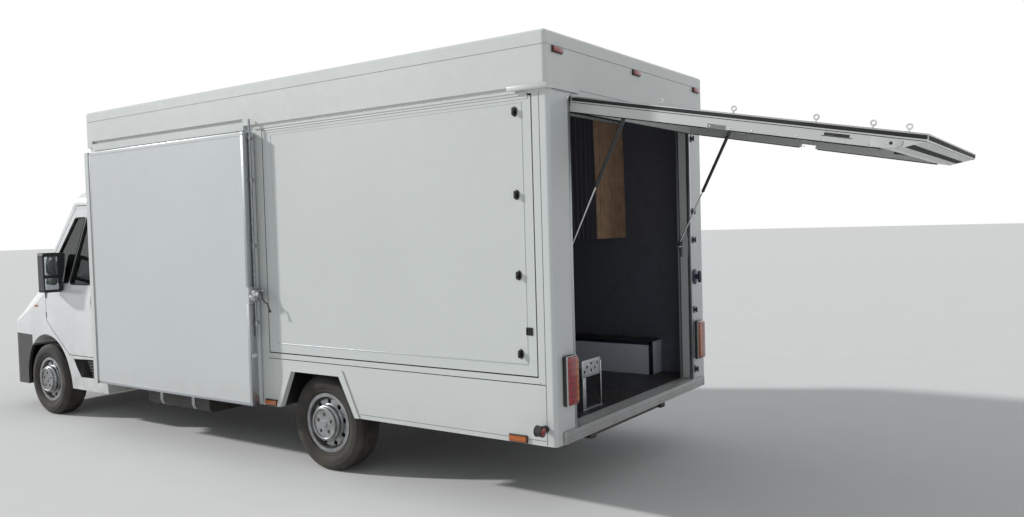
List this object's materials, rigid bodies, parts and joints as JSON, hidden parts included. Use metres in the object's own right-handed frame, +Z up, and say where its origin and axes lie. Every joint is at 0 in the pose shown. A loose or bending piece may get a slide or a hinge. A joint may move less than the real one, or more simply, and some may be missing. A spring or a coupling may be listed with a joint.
{
  "type": "mobile shop van with box body",
  "caption": "Light van cab and chassis with a boxed shop body, a lifting serving flap, a side service door and a rear flap standing open on gas struts.",
  "frame": {"origin": "on the ground under the middle of the bounding box", "axes": "+X to the vehicle's left, +Y to its tail, +Z up"},
  "size_m": [2.356, 8.5446, 2.7389],
  "materials": {
    "black_steel": "satin black underbody paint",
    "cast": "raw",
    "exhaust_steel": "dull",
    "white_paint": "gloss white",
    "tail_panel": "gloss white outside, satin grey inside",
    "glazing": "clear",
    "black_plastic": "grained",
    "lamp_glass": "clear",
    "red_lens": "moulded lens",
    "amber_lens": "moulded lens",
    "black_rubber": "matt",
    "seat_fabric": "woven",
    "curtain_fabric": "plain weave",
    "floor_board": "coated plywood",
    "bare_aluminium": "ribbed extrusion",
    "strut_black": "gloss black",
    "rod_steel": "polished",
    "tyre": "moulded",
    "rim_paint": "silver paint"
  },
  "bodies": {
    "vehicle": {"amber_markers": "amber_lens", "box_floor": "floor_board", "box_front_wall": "white_paint", "box_left_wall": "white_paint", "box_right_wall": "white_paint", "box_roof": "white_paint", "cab_seats": "seat_fabric", "cab_shell": "white_paint", "chassis_frame": "black_steel", "corner_outriggers": "black_rubber", "curtains": "curtain_fabric", "dashboard": "black_plastic", "engine_block": "cast", "exhaust": "exhaust_steel", "floor_locker": "white_paint", "front_bumper": "black_plastic", "front_grille": "black_plastic", "front_suspension": "black_steel", "fuel_tank": "black_steel", "headlamps": "lamp_glass", "leaf_springs": "black_steel", "rear_axle": "black_steel", "rear_frame": "white_paint", "rear_lamps": "red_lens", "rear_sill": "bare_aluminium", "windscreen": "glazing"},
    "knuckle_left": {"knuckle_left": "black_steel"},
    "knuckle_right": {"knuckle_right": "black_steel"},
    "front_wheel_left": {"front_rim_left": "rim_paint", "front_tyre_left": "tyre"},
    "front_wheel_right": {"front_rim_right": "rim_paint", "front_tyre_right": "tyre"},
    "rear_wheel_left": {"rear_rim_left": "rim_paint", "rear_tyre_left": "tyre"},
    "rear_wheel_right": {"rear_rim_right": "rim_paint", "rear_tyre_right": "tyre"},
    "steering_wheel": {"steering_wheel": "black_plastic"},
    "cab_door_left": {"cab_door_left": "white_paint", "door_glass_left": "glazing", "door_mirror_left": "black_plastic"},
    "cab_door_right": {"cab_door_right": "white_paint", "door_glass_right": "glazing", "door_mirror_right": "black_plastic"},
    "bonnet": {"bonnet": "white_paint"},
    "service_door": {"service_door": "white_paint"},
    "side_flap": {"side_flap": "white_paint"},
    "tail_flap": {"tail_flap": "tail_panel"},
    "strut_tube_left": {"strut_tube_left": "strut_black"},
    "strut_tube_right": {"strut_tube_right": "strut_black"},
    "strut_rod_left": {"strut_rod_left": "rod_steel"},
    "strut_rod_right": {"strut_rod_right": "rod_steel"}
  },
  "joints": [
    {"name": "steer_left", "type": "hinge", "parent": "vehicle", "child": "knuckle_left", "pos_m": [0.8, -3.32426, 0.334], "axis": [0, 0, 1], "range_deg": [-33, 33]},
    {"name": "steer_right", "type": "hinge", "parent": "vehicle", "child": "knuckle_right", "pos_m": [-0.8, -3.32426, 0.334], "axis": [0, 0, 1], "range_deg": [-33, 33]},
    {"name": "front_wheel_left_spin", "type": "hinge", "parent": "knuckle_left", "child": "front_wheel_left", "pos_m": [0.89, -3.32426, 0.334], "axis": [1, 0, 0], "continuous": true},
    {"name": "front_wheel_right_spin", "type": "hinge", "parent": "knuckle_right", "child": "front_wheel_right", "pos_m": [-0.89, -3.32426, 0.334], "axis": [1, 0, 0], "continuous": true},
    {"name": "rear_wheel_left_spin", "type": "hinge", "parent": "vehicle", "child": "rear_wheel_left", "pos_m": [0.89, 0.47574, 0.334], "axis": [1, 0, 0], "continuous": true},
    {"name": "rear_wheel_right_spin", "type": "hinge", "parent": "vehicle", "child": "rear_wheel_right", "pos_m": [-0.89, 0.47574, 0.334], "axis": [1, 0, 0], "continuous": true},
    {"name": "steering_wheel_turn", "type": "hinge", "parent": "vehicle", "child": "steering_wheel", "pos_m": [-0.49, -2.91926, 1.2], "axis": [0, 0.8829, 0.4695], "range_deg": [-528, 528]},
    {"name": "cab_door_left_swing", "type": "hinge", "parent": "vehicle", "child": "cab_door_left", "pos_m": [1.002, -3.30726, 1.2], "axis": [0, 0, -1], "range_deg": [0, 70]},
    {"name": "cab_door_right_swing", "type": "hinge", "parent": "vehicle", "child": "cab_door_right", "pos_m": [-1.002, -3.30726, 1.2], "axis": [0, 0, 1], "range_deg": [0, 70]},
    {"name": "bonnet_lift", "type": "hinge", "parent": "vehicle", "child": "bonnet", "pos_m": [0, -3.47426, 1.366], "axis": [-1, 0, 0], "range_deg": [0, 50]},
    {"name": "service_door_swing", "type": "hinge", "parent": "vehicle", "child": "service_door", "pos_m": [1.172, -2.13226, 1.4], "axis": [0, 0, -1], "range_deg": [0, 100]},
    {"name": "side_flap_lift", "type": "hinge", "parent": "vehicle", "child": "side_flap", "pos_m": [1.072, 1.15074, 2.3953], "axis": [0, -1, 0], "range_deg": [0, 90]},
    {"name": "tail_flap_close", "type": "hinge", "parent": "vehicle", "child": "tail_flap", "pos_m": [0, 2.41974, 2.396], "axis": [-1, 0, 0], "range_deg": [0, 78.6]},
    {"name": "strut_tube_left_pivot", "type": "hinge", "parent": "tail_flap", "child": "strut_tube_left", "pos_m": [0.785, 2.74197, 2.2739], "axis": [1, 0, 0], "range_deg": [0, 103.38]},
    {"name": "strut_rod_left_slide", "type": "slide", "parent": "strut_tube_left", "child": "strut_rod_left", "axis": [0, 0.4519, 0.892], "range_m": [0, 0.31448]},
    {"name": "strut_tube_right_pivot", "type": "hinge", "parent": "tail_flap", "child": "strut_tube_right", "pos_m": [-0.785, 2.74197, 2.2739], "axis": [1, 0, 0], "range_deg": [0, 103.38]},
    {"name": "strut_rod_right_slide", "type": "slide", "parent": "strut_tube_right", "child": "strut_rod_right", "axis": [0, 0.4519, 0.892], "range_m": [0, 0.31448]}
  ],
  "couplings": [
    {"joint": "steer_right", "follows": "steer_left", "ratio": 1},
    {"joint": "steering_wheel_turn", "follows": "steer_left", "ratio": 16},
    {"joint": "strut_tube_left_pivot", "follows": "tail_flap_close", "ratio": 1.3115},
    {"joint": "strut_rod_left_slide", "follows": "tail_flap_close", "m_per_rad": 0.22851},
    {"joint": "strut_tube_right_pivot", "follows": "tail_flap_close", "ratio": 1.3115},
    {"joint": "strut_rod_right_slide", "follows": "tail_flap_close", "m_per_rad": 0.22851}
  ]
}
